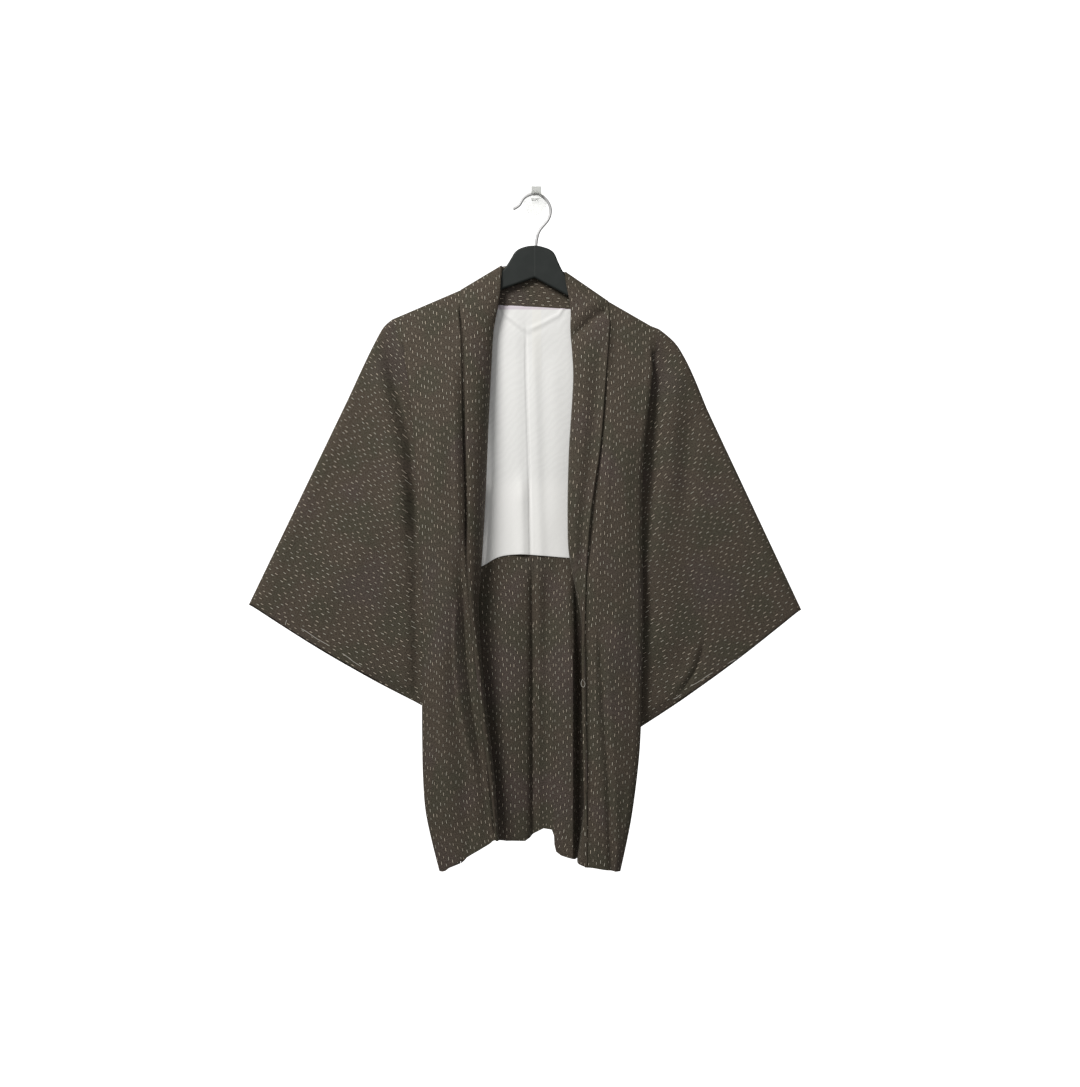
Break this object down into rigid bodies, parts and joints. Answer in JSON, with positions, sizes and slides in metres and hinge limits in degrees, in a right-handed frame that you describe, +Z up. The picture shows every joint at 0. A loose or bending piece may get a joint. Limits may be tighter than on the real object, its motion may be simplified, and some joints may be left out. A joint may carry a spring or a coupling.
{
  "type": "haori jacket on a hanger",
  "caption": "Open-front haori jacket with wide sleeves, band collar, side gussets and white back lining, hung flat on a slim hanger with a swivel hook on a stick-on wall hook.",
  "frame": {"origin": "middle of the wall hook's flat back face, on the wall plane", "axes": "+Z up, +Y into the wall, +X towards the viewer's right, which is the wearer's left side; the jacket hangs at negative y"},
  "size_m": [0.779, 0.0552, 0.9601],
  "materials": {
    "brown_crepe": "matt silk crepe, dark taupe with short pale dashes along the warp",
    "white_lining": "smooth white lining silk with a faint figured weave",
    "black_plastic": "matt black moulding",
    "chrome_wire": "bright plated wire",
    "clear_plastic": "clear polished moulding"
  },
  "bodies": {
    "root": {"front_right": "brown_crepe", "back_right": "brown_crepe", "front_left": "brown_crepe", "back_left": "brown_crepe", "gusset_right": "brown_crepe", "gusset_left": "brown_crepe", "sleeve_right": "brown_crepe", "sleeve_left": "brown_crepe", "collar": "brown_crepe", "lining": "white_lining", "hanger": "black_plastic", "hanger_hook": "chrome_wire", "wall_hook": "clear_plastic"}
  },
  "joints": []
}
